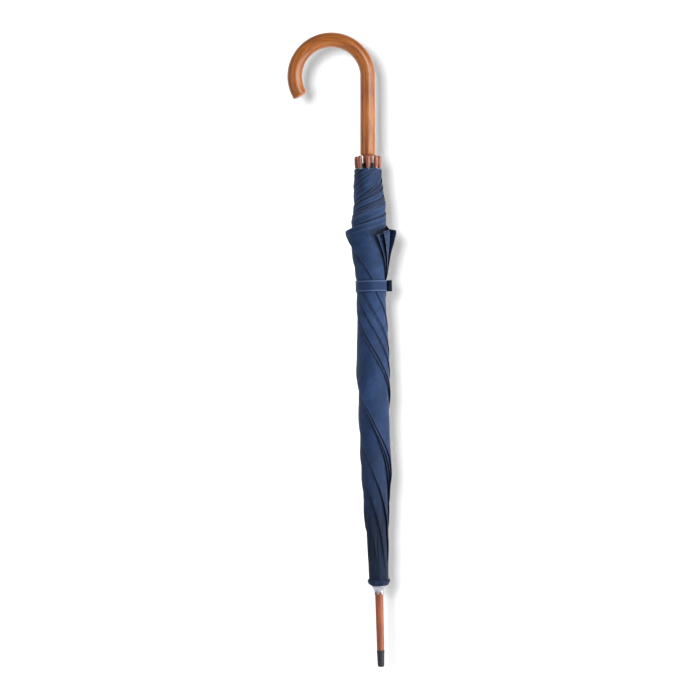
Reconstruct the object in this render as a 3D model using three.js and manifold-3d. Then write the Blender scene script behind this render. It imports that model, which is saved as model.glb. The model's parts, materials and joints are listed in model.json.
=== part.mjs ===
// Stick umbrella, closed and furled, in millimetres.
// The shaft's axis is Z. The origin is at the end of the ferrule tip, and the crook is at the top.
// A rib's azimuth is its angle round Z from +X. Rib 1 is at azimuth 0.
import * as THREE from 'three';
import { mergeVertices } from 'three/addons/utils/BufferGeometryUtils.js';
import Module from 'manifold-3d';

const wasm = await Module();
wasm.setup();

// ---- driving dimensions -------------------------------------------------------------------------

const DEG = Math.PI / 180;
const MERGE_TOLERANCE = 1e-4;
const RIB_COUNT = 8;
const SPOKE_ANGLE = 360 / RIB_COUNT * DEG;

// Shaft and ferrule
const SHAFT_RADIUS = 7;
const NECK_RADIUS = 5.9;
const NECK_TOP_Z = 134;
const FERRULE_END_RADIUS = 5.35;
const SPIGOT_RADIUS = 3.4;
const TIP_LENGTH = 23;
const TIP_FLAT_RADIUS = 3;
const FIT_GAP = 0.3;

// Handle
const GRIP_BOTTOM_Z = 716;
const GRIP_LENGTH = 111;
const GRIP_RADIUS = 10.7;
const CROOK_RADIUS = 51;
const CROOK_ANGLE = 210 * DEG;
const CROOK_END_DOME = 5;
const HANDLE_LEAN = 1.4 * DEG;
const HANDLE_BORE_DEPTH = 40;

// Linkage: the ribs hinge on the crown, and the stretchers join each rib to the runner.
const CROWN_Z = 125;
const PIVOT_RADIUS = 10.5;
const RIB_SPLAY = 0.514 * DEG;
const STRETCHER_SPAN = 265;
const CLIP_PIVOT_INSET = 3.5;
const RIB_LENGTH = 573;
const RIB_WIDTH = 3;
const RIB_DEPTH = 2.6;
const RIB_WALL = 0.6;
const RIB_TIP_LENGTH = 17;
const RIB_TIP_RADIUS = 3.2;
const STRETCHER_WIDTH = 2;
const STRETCHER_DEPTH = 2;
const OPEN_ANGLE = 66 * DEG;

// Runner
const RUNNER_BORE_RADIUS = SHAFT_RADIUS + 0.25;
const RUNNER_SLEEVE_RADIUS = 8.3;
const RUNNER_SLEEVE_LENGTH = 50;
const RUNNER_HEAD_RADIUS = 12.6;
const RUNNER_HEAD_HALF = 4;
const KEYWAY_WIDTH = 3.2;

// Catches
const CATCH_AZIMUTH = SPOKE_ANGLE / 2;
const CATCH_THICKNESS = 1.6;
const CATCH_LENGTH = 28;
const CATCH_NOSE_RADIUS = 9;
const CATCH_NOSE_LENGTH = 9;
const CATCH_BACK_RADIUS = 2.6;
const CATCH_TRAVEL = 2;

// Canopy: the outer radius of the furled fabric at heights along the shaft, as [z, radius]
const CANOPY_OUTLINE = [
  [137, 13.2], [170, 15.4], [205, 18.2], [260, 19.6], [330, 21], [400, 22.8], [480, 21.2],
  [516, 20.4], [545, 20.4], [570, 25], [594, 31.5], [606, 32.5], [622, 26.5], [650, 22], [697, 20],
];
const CANOPY_INNER_RADIUS = 11.4;
const CANOPY_WIDE_INNER_RADIUS = 13.4;
const CANOPY_WIDENS_Z = 420;
const SEAM_HALF_GAP = 3;

// Strap
const STRAP_Z = 533;
const STRAP_WIDTH = 16.4;
const STRAP_RADIUS = 20.8;
const STRAP_THICKNESS = 0.7;
const STRAP_LAYER = STRAP_THICKNESS + FIT_GAP;
const TAB_HINGE_AZIMUTH = 45 * DEG;
const TAB_REACH_X = 29.5;
const SNAP_AZIMUTH = 25 * DEG;

// Crown end
const CROWN_BOTTOM_Z = 118;
const CROWN_TOP_Z = 133.5;
const CROWN_CORE_RADIUS = 8;
const CROWN_RADIUS = 13;
const CROWN_SLOT_WIDTH = 3.7;
const WIRE_RADIUS = 0.5;
const ROSETTE_Z = 114.6;
const ROSETTE_RADIUS = 15;
const CAP_TOP_Z = 114;
const CAP_NECK_Z = 106.5;
const CAP_CLAW_Z = 101;
const CAP_TOP_RADIUS = 10.5;
const CAP_CLAW_COUNT = 6;

// Values that follow from the linkage
const pivotReach = Math.hypot(STRETCHER_SPAN, CLIP_PIVOT_INSET);
const clipAngle = RIB_SPLAY - Math.atan(CLIP_PIVOT_INSET / STRETCHER_SPAN);
const openClipAngle = OPEN_ANGLE - Math.atan(CLIP_PIVOT_INSET / STRETCHER_SPAN);
const clipPivot = {
  r: PIVOT_RADIUS + pivotReach * Math.sin(clipAngle),
  z: CROWN_Z + pivotReach * Math.cos(clipAngle),
};
const runnerZ = CROWN_Z + 2 * pivotReach * Math.cos(clipAngle);
const openRunnerZ = CROWN_Z + 2 * pivotReach * Math.cos(openClipAngle);

// ---- materials ----------------------------------------------------------------------------------

const plain = (color, roughness, metalness = 0) =>
  new THREE.MeshStandardMaterial({ color, roughness, metalness });

const handleWood = plain(0xb9692d, 0.25);
const shaftWood = plain(0x9c4f2b, 0.4);
const tipWood = plain(0x8f4a2c, 0.35);
const fabric = plain(0x2b3f6b, 0.85);
const strapFabric = plain(0x24365c, 0.8);
const steel = plain(0x8d9096, 0.35, 0.9);
const silver = plain(0xb9bcc2, 0.3, 0.9);
const darkPlastic = plain(0x2c2d30, 0.5);

// ---- shape helpers ------------------------------------------------------------------------------

// A closed geometry as a solid that can be cut and joined
function solidOf(geometry) {
  const bare = geometry.clone();
  bare.deleteAttribute('normal');
  bare.deleteAttribute('uv');
  const merged = mergeVertices(bare, MERGE_TOLERANCE);
  const index = merged.index.array;
  const triangles = [];
  for (let i = 0; i < index.length; i += 3) {
    const [a, b, c] = [index[i], index[i + 1], index[i + 2]];
    if (a !== b && b !== c && c !== a) triangles.push(a, b, c);
  }
  return new wasm.Manifold(new wasm.Mesh({
    numProp: 3,
    vertProperties: new Float32Array(merged.attributes.position.array),
    triVerts: new Uint32Array(triangles),
  }));
}

function meshOf(name, solid, material) {
  const { vertProperties, triVerts } = solid.getMesh();
  const geometry = new THREE.BufferGeometry();
  geometry.setAttribute('position', new THREE.BufferAttribute(vertProperties, 3));
  geometry.setIndex(new THREE.BufferAttribute(triVerts, 1));
  geometry.computeVertexNormals();
  const mesh = new THREE.Mesh(geometry, material);
  mesh.name = name;
  return mesh;
}

// A profile of [radius, z] points turned about Z. It starts and ends on the axis, or closes itself.
function turned(profile, segments = 24) {
  const points = profile.map(([radius, z]) => new THREE.Vector2(radius, z));
  return solidOf(new THREE.LatheGeometry(points, segments).rotateX(Math.PI / 2));
}

function turnedRing(profile, segments) {
  return turned([...profile, profile[0]], segments);
}

function block([x0, y0, z0], [x1, y1, z1]) {
  const box = new THREE.BoxGeometry(x1 - x0, y1 - y0, z1 - z0);
  return solidOf(box.translate((x0 + x1) / 2, (y0 + y1) / 2, (z0 + z1) / 2));
}

// A round pin from one point to another
function pin(radius, from, to, segments = 12) {
  const [a, b] = [new THREE.Vector3(...from), new THREE.Vector3(...to)];
  const along = new THREE.Vector3().subVectors(b, a);
  const turn = new THREE.Quaternion().setFromUnitVectors(
    new THREE.Vector3(0, 1, 0), along.clone().normalize());
  const cylinder = new THREE.CylinderGeometry(radius, radius, along.length(), segments);
  return solidOf(cylinder.applyQuaternion(turn).translate(...a.add(b).multiplyScalar(0.5)));
}

// An outline of [x, y] points extruded up Z from a height
function extruded(outline, z, height) {
  const shape = new THREE.Shape(outline.map(([x, y]) => new THREE.Vector2(x, y)));
  const settings = { depth: height, bevelEnabled: false };
  return solidOf(new THREE.ExtrudeGeometry(shape, settings).translate(0, 0, z));
}

// An outline of [r, z] points in the plane of an azimuth, as thick as given
function upright(outline, thickness, azimuth) {
  const shape = new THREE.Shape(outline.map(([r, z]) => new THREE.Vector2(r, z)));
  const slab = new THREE.ExtrudeGeometry(shape, { depth: thickness, bevelEnabled: false });
  return solidOf(slab.translate(0, 0, -thickness / 2).rotateX(Math.PI / 2).rotateZ(azimuth));
}

function arc(radius, from, to, steps) {
  return Array.from({ length: steps + 1 }, (_, i) => {
    const angle = from + (to - from) * i / steps;
    return [radius * Math.cos(angle), radius * Math.sin(angle)];
  });
}

function placed(mesh, { position = [0, 0, 0], lean = 0, azimuth = 0 }) {
  mesh.position.set(...position);
  mesh.rotation.y = lean;
  const spoke = new THREE.Group();
  spoke.rotation.z = azimuth;
  spoke.add(mesh);
  return spoke;
}

// ---- shaft, handle and ferrule ------------------------------------------------------------------

// The grip's centre line: straight up, and then round the crook towards -X
class CrookCurve extends THREE.Curve {
  getPoint(t, target = new THREE.Vector3()) {
    const along = t * (GRIP_LENGTH + CROOK_RADIUS * CROOK_ANGLE);
    if (along <= GRIP_LENGTH) return target.set(0, 0, along);
    const angle = (along - GRIP_LENGTH) / CROOK_RADIUS;
    return target.set(
      CROOK_RADIUS * (Math.cos(angle) - 1), 0, GRIP_LENGTH + CROOK_RADIUS * Math.sin(angle));
  }
}

function handle() {
  const section = new THREE.Shape().absarc(0, 0, GRIP_RADIUS, 0, 2 * Math.PI);
  const curve = new CrookCurve();
  const bar = new THREE.ExtrudeGeometry(
    section, { steps: 34, curveSegments: 8, extrudePath: curve, bevelEnabled: false });
  const end = curve.getPoint(1);
  const dome = new THREE.SphereGeometry(GRIP_RADIUS - 0.05, 16, 8)
    .scale(1, 1, CROOK_END_DOME / GRIP_RADIUS)
    .rotateY(-CROOK_ANGLE)
    .translate(end.x, end.y, end.z);
  const whole = solidOf(bar).add(solidOf(dome));
  const leaning = whole.rotate([0, HANDLE_LEAN / DEG, 0]).translate([0, 0, GRIP_BOTTOM_Z]);
  const bore = pin(
    SHAFT_RADIUS + FIT_GAP, [0, 0, GRIP_BOTTOM_Z - 5], [0, 0, GRIP_BOTTOM_Z + HANDLE_BORE_DEPTH], 24);
  return meshOf('handle', leaning.subtract(bore), handleWood);
}

const crossHole = (z, azimuth, reach, radius = 1.3) => pin(
  radius,
  [-reach * Math.cos(azimuth), -reach * Math.sin(azimuth), z],
  [reach * Math.cos(azimuth), reach * Math.sin(azimuth), z]);

const CROWN_PIN_Z = 130;
const STOP_PIN_Z = openRunnerZ - RUNNER_HEAD_HALF - 2.2;
const STOP_PIN_AZIMUTH = 112.5 * DEG;
const BOTTOM_CATCH_Z = runnerZ - RUNNER_HEAD_HALF - 1 - CATCH_LENGTH;
const TOP_CATCH_Z = openRunnerZ + RUNNER_SLEEVE_LENGTH + 6;

// Room in the shaft for a catch at rest and pressed in
function catchPocket(z) {
  const [floor, mouth] = [CATCH_BACK_RADIUS - CATCH_TRAVEL - FIT_GAP, SHAFT_RADIUS + 1];
  const [bottom, top] = [z - 1, z + CATCH_LENGTH + 1];
  return upright(
    [[floor, bottom], [mouth, bottom], [mouth, top], [floor, top]],
    CATCH_THICKNESS + 2 * FIT_GAP, CATCH_AZIMUTH);
}

function shaft() {
  const rod = turned([
    [0, TIP_LENGTH - 15], [SPIGOT_RADIUS, TIP_LENGTH - 15], [SPIGOT_RADIUS, TIP_LENGTH + FIT_GAP],
    [FERRULE_END_RADIUS, TIP_LENGTH + FIT_GAP], [NECK_RADIUS, CAP_NECK_Z], [NECK_RADIUS, NECK_TOP_Z],
    [SHAFT_RADIUS, NECK_TOP_Z + 2], [SHAFT_RADIUS, GRIP_BOTTOM_Z + HANDLE_BORE_DEPTH - 1],
    [0, GRIP_BOTTOM_Z + HANDLE_BORE_DEPTH - 1],
  ]);
  const cuts = [
    crossHole(CROWN_PIN_Z, CATCH_AZIMUTH, 10), crossHole(STOP_PIN_Z, STOP_PIN_AZIMUTH, 10),
    catchPocket(BOTTOM_CATCH_Z), catchPocket(TOP_CATCH_Z),
  ];
  return meshOf('shaft', cuts.reduce((rest, cut) => rest.subtract(cut), rod), shaftWood);
}

function ferruleTip() {
  const boreRadius = SPIGOT_RADIUS + FIT_GAP;
  const boreZ = TIP_LENGTH - 15 - FIT_GAP;
  return meshOf('ferrule_tip', turned([
    [0, 0], [TIP_FLAT_RADIUS, 0], [4.2, 0.8], [4.75, 2.6], [FERRULE_END_RADIUS + 0.1, TIP_LENGTH],
    [boreRadius, TIP_LENGTH], [boreRadius, boreZ], [0, boreZ],
  ]), darkPlastic);
}

// The snap catches slide into the shaft along the azimuth that they share with the runner's keyway.
function snapCatch(name, z, noseUp) {
  const [back, face, top] = [CATCH_BACK_RADIUS, SHAFT_RADIUS - 0.4, z + CATCH_LENGTH];
  const nose = CATCH_NOSE_RADIUS;
  const outline = noseUp
    ? [[back, z], [face, z], [face, top - CATCH_NOSE_LENGTH], [nose, top], [back, top]]
    : [[back, z], [nose, z], [face, z + CATCH_NOSE_LENGTH], [face, top], [back, top]];
  return meshOf(name, upright(outline, CATCH_THICKNESS, CATCH_AZIMUTH), steel);
}

// ---- crown end ----------------------------------------------------------------------------------

function crown() {
  const bore = NECK_RADIUS + FIT_GAP;
  let body = turnedRing([
    [bore, CROWN_BOTTOM_Z], [CROWN_RADIUS - 1, CROWN_BOTTOM_Z], [CROWN_RADIUS, CROWN_BOTTOM_Z + 2],
    [CROWN_RADIUS, CROWN_TOP_Z - 1], [CROWN_RADIUS - 1, CROWN_TOP_Z], [bore, CROWN_TOP_Z],
  ], 32);
  for (let i = 0; i < RIB_COUNT; i += 1) {
    const slot = block(
      [CROWN_CORE_RADIUS, -CROWN_SLOT_WIDTH / 2, CROWN_Z - 4],
      [CROWN_RADIUS + 2, CROWN_SLOT_WIDTH / 2, CROWN_TOP_Z + 2]);
    body = body.subtract(slot.rotate([0, 0, i * SPOKE_ANGLE / DEG]));
  }
  const groove = turnedRing([
    [PIVOT_RADIUS - 1, CROWN_Z - 0.9], [CROWN_RADIUS + 2, CROWN_Z - 0.9],
    [CROWN_RADIUS + 2, CROWN_Z + 0.9], [PIVOT_RADIUS - 1, CROWN_Z + 0.9],
  ], 32);
  const hole = crossHole(CROWN_PIN_Z, CATCH_AZIMUTH, CROWN_RADIUS + 3);
  return meshOf('crown', body.subtract(groove).subtract(hole), darkPlastic);
}

function crownWire() {
  const ring = new THREE.TorusGeometry(PIVOT_RADIUS, WIRE_RADIUS, 6, 32).translate(0, 0, CROWN_Z);
  return meshOf('crown_wire', solidOf(ring), steel);
}

function crossPin(name, z, azimuth, reach) {
  return meshOf(name, crossHole(z, azimuth, reach, 1), steel);
}

// A flared cap round the ferrule. Its small end is cut into pointed claws.
function crownCap() {
  const bore = NECK_RADIUS + FIT_GAP;
  let body = turnedRing([
    [bore, CAP_CLAW_Z], [bore + 0.6, CAP_CLAW_Z], [bore + 0.7, CAP_NECK_Z], [bore + 1.8, CAP_NECK_Z + 3],
    [CAP_TOP_RADIUS, CAP_TOP_Z - 0.6], [CAP_TOP_RADIUS, CAP_TOP_Z], [CAP_TOP_RADIUS - 0.7, CAP_TOP_Z],
    [bore, CAP_NECK_Z + 3],
  ], 36);
  const clawPitch = 2 * Math.PI / CAP_CLAW_COUNT;
  const halfNotch = bore * clawPitch / 2 - 0.3;
  for (let i = 0; i < CAP_CLAW_COUNT; i += 1) {
    const outline = [[-halfNotch, CAP_CLAW_Z - 0.5], [halfNotch, CAP_CLAW_Z - 0.5], [0, CAP_NECK_Z]];
    const shape = new THREE.Shape(outline.map(([x, y]) => new THREE.Vector2(x, y)));
    const wedge = new THREE.ExtrudeGeometry(shape, { depth: 12, bevelEnabled: false });
    body = body.subtract(solidOf(wedge.rotateX(Math.PI / 2).rotateZ(i * clawPitch)));
  }
  return meshOf('crown_cap', body, silver);
}

function rosette() {
  const bore = NECK_RADIUS + FIT_GAP + 0.1;
  return meshOf('rosette', turnedRing([
    [bore, ROSETTE_Z], [ROSETTE_RADIUS, ROSETTE_Z], [ROSETTE_RADIUS, ROSETTE_Z + 2.8],
    [bore, ROSETTE_Z + 2.8],
  ], 32), fabric);
}

// ---- runner -------------------------------------------------------------------------------------

function runner() {
  const top = runnerZ + RUNNER_SLEEVE_LENGTH;
  const headTop = runnerZ + RUNNER_HEAD_HALF;
  const headBottom = runnerZ - RUNNER_HEAD_HALF;
  let body = turnedRing([
    [RUNNER_BORE_RADIUS, headBottom], [RUNNER_HEAD_RADIUS, headBottom], [RUNNER_HEAD_RADIUS, headTop],
    [RUNNER_SLEEVE_RADIUS, headTop], [RUNNER_SLEEVE_RADIUS, top], [RUNNER_BORE_RADIUS, top],
  ], 32);
  for (let i = 0; i < RIB_COUNT; i += 1) {
    const slot = block(
      [RUNNER_SLEEVE_RADIUS + 0.1, -1.6, headBottom - 1], [RUNNER_HEAD_RADIUS + 2, 1.6, headTop + 1]);
    body = body.subtract(slot.rotate([0, 0, i * SPOKE_ANGLE / DEG]));
  }
  const keyway = block(
    [0, -KEYWAY_WIDTH / 2, headBottom - 1], [RUNNER_HEAD_RADIUS + 2, KEYWAY_WIDTH / 2, top + 1]);
  return meshOf('runner', body.subtract(keyway.rotate([0, 0, CATCH_AZIMUTH / DEG])), steel);
}

// ---- ribs and stretchers ------------------------------------------------------------------------

// Each of these is drawn along +Z from its own pivot, with +X pointing away from the shaft.

const sidePin = (radius, half, z = 0, x = 0) => pin(radius, [x, -half, z], [x, half, z], 14);

function ribSolid() {
  const [x, y] = [RIB_DEPTH / 2, RIB_WIDTH / 2];
  const [wallX, wallY] = [x - RIB_WALL, y - RIB_WALL];
  const channel = extruded(
    [[-x, -y], [x, -y], [x, y], [-x, y], [-x, wallY], [wallX, wallY], [wallX, -wallY], [-x, -wallY]],
    3, RIB_LENGTH - 3);
  const tongue = sidePin(2, 1).add(block([-1.1, -1, 0], [1.1, 1, 5]));
  const spike = pin(1.2, [0, 0, RIB_LENGTH - 3], [0, 0, RIB_LENGTH + 11], 10);
  return channel.add(tongue).add(spike).subtract(sidePin(0.9, 3));
}

function stretcherSolid() {
  const length = 2 * pivotReach * Math.cos(clipAngle) - (clipPivot.z - CROWN_Z);
  const span = Math.hypot(length, clipPivot.r - PIVOT_RADIUS);
  const [x, y] = [STRETCHER_DEPTH / 2, STRETCHER_WIDTH / 2];
  const bar = block([-x, -y, 0], [x, y, span]);
  const eyes = sidePin(1.8, 1).add(sidePin(1.6, 1, span));
  return bar.add(eyes).subtract(sidePin(1, 3)).subtract(sidePin(0.8, 3, span));
}

// A bent clip over the rib's back, and its pin through the stretcher's eye
function jointClipSolid() {
  const [outer, wall, half] = [2.5, 0.65, 4];
  const back = RIB_DEPTH / 2 + FIT_GAP;
  const jaw = -CLIP_PIVOT_INSET - 1.5;
  const bent = block([jaw, -outer, -half], [back + wall, outer, half]);
  const inside = block([jaw - 1, -outer + wall, -half - 1], [back, outer - wall, half + 1]);
  return bent.subtract(inside).add(sidePin(0.7, outer - 0.1, 0, -CLIP_PIVOT_INSET));
}

function ribTipSolid() {
  const [r, length, bore] = [RIB_TIP_RADIUS, RIB_TIP_LENGTH, 1.6];
  return turned([
    [0, 12.5], [bore, 12.5], [bore, 0], [r - 0.5, 0], [r, 2], [r, length - 4],
    [r - 0.7, length - 1.4], [1.2, length], [0, length],
  ], 14);
}

// ---- canopy and strap ---------------------------------------------------------------------------

// One panel's share of the furled fabric: a sector between two ribs, clear of both
function canopyPanelSolid() {
  const [bottom, top] = [CANOPY_OUTLINE[0][0], CANOPY_OUTLINE.at(-1)[0]];
  const ring = turnedRing([
    ...CANOPY_OUTLINE.map(([z, radius]) => [radius, z]),
    [CANOPY_WIDE_INNER_RADIUS, top], [CANOPY_WIDE_INNER_RADIUS, CANOPY_WIDENS_Z + 20],
    [CANOPY_INNER_RADIUS, CANOPY_WIDENS_Z], [CANOPY_INNER_RADIUS, bottom],
  ], 40);
  const apex = SEAM_HALF_GAP / Math.sin(SPOKE_ANGLE / 2);
  const reach = 60;
  const halfSpread = (reach - apex) * Math.tan(SPOKE_ANGLE / 2);
  const outline = [[apex, 0], [reach, -halfSpread], [reach, halfSpread]];
  return ring.intersect(extruded(outline, bottom - 5, top - bottom + 10));
}

function curvedBand(radius, from, to, steps) {
  return [...arc(radius + STRAP_THICKNESS, from, to, steps), ...arc(radius, to, from, steps)];
}

function strapBand() {
  const from = TAB_HINGE_AZIMUTH + 8 * DEG;
  const outline = curvedBand(STRAP_RADIUS, from, from + 348 * DEG, 36);
  return meshOf('strap_band', extruded(outline, STRAP_Z - STRAP_WIDTH / 2, STRAP_WIDTH), strapFabric);
}

// The strap's free end: it lies over the snap, and its last stretch sticks out along +X.
function strapTab() {
  const radius = STRAP_RADIUS + 2 * STRAP_LAYER;
  const y = 0.6;
  const outer = arc(radius + STRAP_THICKNESS, 4 * DEG, TAB_HINGE_AZIMUTH, 8);
  const inner = arc(radius, TAB_HINGE_AZIMUTH, 2 * DEG, 8);
  const flare = [[radius, y], [TAB_REACH_X, y], [TAB_REACH_X, y + STRAP_THICKNESS]];
  const solid = extruded([...inner, ...flare, ...outer], STRAP_Z - STRAP_WIDTH / 2, STRAP_WIDTH);
  return meshOf('strap_tab', solid, strapFabric);
}

// A disc of the snap fastener, lying across the strap
function snapDisc(name, layer, radius, thickness, material) {
  const from = STRAP_RADIUS + layer * STRAP_LAYER + 0.05;
  const disc = pin(radius, [from, 0, STRAP_Z], [from + thickness, 0, STRAP_Z], 20);
  return meshOf(name, disc.rotate([0, 0, SNAP_AZIMUTH / DEG]), material);
}

// ---- assembly -----------------------------------------------------------------------------------

const umbrella = new THREE.Group();
umbrella.add(
  handle(), shaft(), ferruleTip(), crownCap(), rosette(), crown(), crownWire(),
  crossPin('crown_pin', CROWN_PIN_Z, CATCH_AZIMUTH, CROWN_RADIUS - 1),
  crossPin('stop_pin', STOP_PIN_Z, STOP_PIN_AZIMUTH, SHAFT_RADIUS + 1.5),
  snapCatch('bottom_catch', BOTTOM_CATCH_Z, true),
  snapCatch('top_catch', TOP_CATCH_Z, false),
  runner(), strapBand(), strapTab(),
  snapDisc('snap_stud', 1, 3.2, 0.5, silver),
  snapDisc('snap_cap', 3, 4.4, 1.1, silver),
);

const ribShape = ribSolid();
const stretcherShape = stretcherSolid();
const clipShape = jointClipSolid();
const tipShape = ribTipSolid();
const panelShape = canopyPanelSolid();

for (let i = 0; i < RIB_COUNT; i += 1) {
  const azimuth = i * SPOKE_ANGLE;
  const number = i + 1;
  const rib = new THREE.Group();
  rib.position.set(PIVOT_RADIUS, 0, CROWN_Z);
  rib.rotation.y = RIB_SPLAY;
  const clip = meshOf(`joint_clip_${number}`, clipShape, steel);
  clip.position.z = STRETCHER_SPAN;
  const tip = meshOf(`rib_tip_${number}`, tipShape, tipWood);
  tip.position.z = RIB_LENGTH + FIT_GAP;
  rib.add(meshOf(`rib_${number}`, ribShape, steel), clip, tip);
  const spoke = new THREE.Group();
  spoke.rotation.z = azimuth;
  spoke.add(rib);
  umbrella.add(
    spoke,
    placed(meshOf(`stretcher_${number}`, stretcherShape, steel),
      { position: [clipPivot.r, 0, clipPivot.z], lean: -clipAngle, azimuth }),
    placed(meshOf(`canopy_panel_${number}`, panelShape, fabric),
      { azimuth: azimuth + SPOKE_ANGLE / 2 }),
  );
}

export default umbrella;
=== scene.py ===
"""A furled stick umbrella: the looks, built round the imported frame. Shapes are in millimetres until made."""
import json
import math

import bmesh
import bpy
import numpy as np
from mathutils import Matrix, Vector, noise


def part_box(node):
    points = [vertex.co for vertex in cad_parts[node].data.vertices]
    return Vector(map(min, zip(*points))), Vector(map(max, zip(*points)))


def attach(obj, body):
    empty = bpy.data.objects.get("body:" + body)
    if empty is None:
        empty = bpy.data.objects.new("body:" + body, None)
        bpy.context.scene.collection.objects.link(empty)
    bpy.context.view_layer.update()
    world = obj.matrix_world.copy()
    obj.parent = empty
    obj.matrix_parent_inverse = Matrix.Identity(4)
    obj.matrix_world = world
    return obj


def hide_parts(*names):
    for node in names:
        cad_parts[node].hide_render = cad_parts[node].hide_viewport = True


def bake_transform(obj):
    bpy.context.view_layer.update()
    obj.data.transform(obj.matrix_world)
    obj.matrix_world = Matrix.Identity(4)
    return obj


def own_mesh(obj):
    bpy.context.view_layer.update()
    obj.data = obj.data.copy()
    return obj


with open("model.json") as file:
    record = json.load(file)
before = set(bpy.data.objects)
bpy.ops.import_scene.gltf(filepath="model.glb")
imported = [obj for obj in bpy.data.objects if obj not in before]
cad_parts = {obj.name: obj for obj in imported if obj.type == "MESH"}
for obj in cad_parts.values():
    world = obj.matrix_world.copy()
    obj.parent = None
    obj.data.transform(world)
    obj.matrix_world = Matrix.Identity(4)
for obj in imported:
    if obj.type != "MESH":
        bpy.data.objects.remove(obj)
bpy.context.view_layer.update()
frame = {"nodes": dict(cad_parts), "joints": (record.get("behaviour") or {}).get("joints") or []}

MM = 0.001
RIB_COUNT = 8
SPOKE = 360 / RIB_COUNT
JOINTS = {joint["name"]: joint for joint in frame["joints"]}


# ---- measures from the frame --------------------------------------------------------------------

def box_mm(node):
    """The lower and upper corners of a node's box, in millimetres"""
    low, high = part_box(node)
    return np.array(low) / MM, np.array(high) / MM


HINGE_X, _, CROWN_Z = (value / MM for value in JOINTS["rib_hinge_1"]["pos_m"])
TIP_LOW, TIP_HIGH = box_mm("rib_tip_1")
TIP_AXIS_X = (TIP_LOW[0] + TIP_HIGH[0]) / 2
RIB_SLOPE = (TIP_AXIS_X - HINGE_X) / ((TIP_LOW[2] + TIP_HIGH[2]) / 2 - CROWN_Z)
RIB_HALF_DEPTH = 1.3
HEM_Z = TIP_LOW[2] - 1.5
APEX_Z = 112.0
PANEL_LENGTH = HEM_Z - APEX_Z
# The joint's limit is 0.2 percent past the place where the open panels meet.
FAN_ANGLE = math.radians(JOINTS["panel_spread_1"]["range_deg"][1] / 1.002)
HALF_PANEL_ANGLE = FAN_ANGLE / 2
STRAP_LOW, STRAP_HIGH = box_mm("strap_band")
STRAP_Z = (STRAP_LOW[2] + STRAP_HIGH[2]) / 2
STRAP_WIDTH = STRAP_HIGH[2] - STRAP_LOW[2]
STRAP_RADIUS = STRAP_HIGH[1] - 0.7
CLIP_LOW, CLIP_HIGH = box_mm("joint_clip_1")
CLIP_FROM_HINGE = (CLIP_LOW[2] + CLIP_HIGH[2]) / 2 - CROWN_Z


# ---- numbers and curves -------------------------------------------------------------------------

def smooth(start, end, value):
    """0 up to start, 1 from end on, and an even curve between"""
    t = np.clip((value - start) / (end - start), 0, 1)
    return t * t * (3 - 2 * t)


def curve(points, blur=6.0):
    """A smooth function through [place, value] points: straight stretches with rounded corners."""
    places, values = np.array(points, float).T
    sample = np.arange(places[0] - 7 * blur, places[-1] + 7 * blur)
    reach = np.arange(-3 * blur, 3 * blur + 1)
    kernel = np.exp(-0.5 * (reach / blur) ** 2)
    blurred = np.convolve(np.interp(sample, places, values), kernel / kernel.sum(), "same")
    return lambda value: np.interp(value, sample, blurred)


def ripple(x, y, scale_x, scale_y, seed=0.0):
    """Smooth noise from -1 to 1 at each (x, y)."""
    xs, ys = np.broadcast_arrays(np.asarray(x, float), np.asarray(y, float))
    flat = [
        noise.noise(Vector((a / scale_x, b / scale_y, seed)))
        for a, b in zip(xs.ravel(), ys.ravel())
    ]
    return np.array(flat).reshape(xs.shape)


def ripple_round(azimuth, z, cells, height, seed):
    """Smooth noise round the shaft, the same on every layer. The azimuth is in degrees. The seed picks
    another part of the noise."""
    reach = cells / (2 * math.pi)
    angle = np.radians(azimuth)
    flat = [
        noise.noise(Vector((x, y, up))) for x, y, up in zip(
            (reach * np.cos(angle) + 9.1 * seed).ravel(), (reach * np.sin(angle)).ravel(),
            (z / height + 5.3 * seed).ravel())
    ]
    return np.array(flat).reshape(azimuth.shape)


# ---- meshes -------------------------------------------------------------------------------------

def piece(name, points, faces, uv=None, sharp_deg=None):
    """A mesh object from points in millimetres. uv holds one (u, v) for each point."""
    mesh = bpy.data.meshes.new(name)
    mesh.from_pydata((np.asarray(points, float) * MM).tolist(), [], faces)
    mesh.validate()
    if uv is not None:
        layer = mesh.uv_layers.new(name="UVMap")
        corner = np.empty(len(mesh.loops), np.int32)
        mesh.loops.foreach_get("vertex_index", corner)
        layer.data.foreach_set("uv", np.asarray(uv, np.float32)[corner].ravel())
    mesh.shade_smooth()
    if sharp_deg:
        mesh.set_sharp_from_angle(angle=math.radians(sharp_deg))
    obj = bpy.data.objects.new(name, mesh)
    bpy.context.scene.collection.objects.link(obj)
    return obj


def grid_faces(rows, columns, close_columns=False, close_rows=False):
    """The faces of a grid of points, which may close on itself either way"""
    last_row = rows if close_rows else rows - 1
    last_column = columns if close_columns else columns - 1
    faces = []
    for i in range(last_row):
        for j in range(last_column):
            a, b = i * columns + j, i * columns + (j + 1) % columns
            up = ((i + 1) % rows) * columns
            faces.append((a, b, up + (j + 1) % columns, up + j))
    return faces


def turned(name, profile, segments=64, sharp_deg=40, closed=False, shift=None):
    """A profile of (radius, z) turned round Z. shift(r, z, angle) may move the points."""
    profile = np.array(profile, float)
    angle = np.linspace(0, 2 * math.pi, segments, endpoint=False)
    radius, height = np.repeat(profile, segments, 0).T
    around = np.tile(angle, len(profile))
    if shift:
        radius, height = shift(radius, height, around)
    points = np.column_stack([radius * np.cos(around), radius * np.sin(around), height])
    along = np.concatenate([[0], np.cumsum(np.hypot(*np.diff(profile, axis=0).T))])
    uv = np.column_stack([around / (2 * math.pi), np.repeat(along, segments) * MM])
    faces = grid_faces(len(profile), segments, close_columns=True, close_rows=closed)
    if not closed:
        faces.append(tuple(range(segments))[::-1])
        faces.append(tuple((len(profile) - 1) * segments + i for i in range(segments)))
    return piece(name, points, faces, uv, sharp_deg)


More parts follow.
